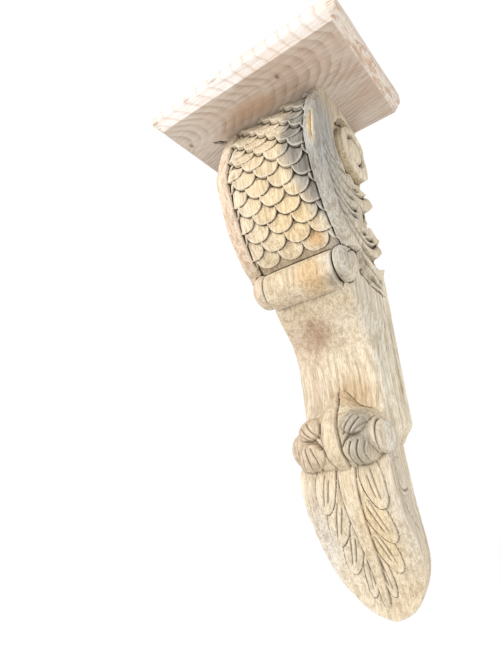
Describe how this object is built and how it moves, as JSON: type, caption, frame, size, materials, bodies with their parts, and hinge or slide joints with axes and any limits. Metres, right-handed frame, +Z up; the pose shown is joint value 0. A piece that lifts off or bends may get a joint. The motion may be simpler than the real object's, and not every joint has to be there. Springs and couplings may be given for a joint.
{
  "type": "corbel bracket",
  "caption": "Carved wooden corbel bracket: scaled front between raised wings, scrolled sides, hollow shaft, leaf tail and a bevelled top board.",
  "frame": {"origin": "on the centre line of the flat back of the carved body, 250 mm below the underside of the board, in the plane of the wall", "axes": "+Z up, +Y into the wall, so the bracket stands out towards -Y, +X to the right of someone facing the wall"},
  "size_m": [0.263, 0.1825, 0.6103],
  "materials": {
    "board_wood": "planed, unfinished",
    "carved_wood": "hand carved, unfinished"
  },
  "bodies": {
    "root": {"top_board": "board_wood", "carved_corbel": "carved_wood"}
  },
  "joints": []
}
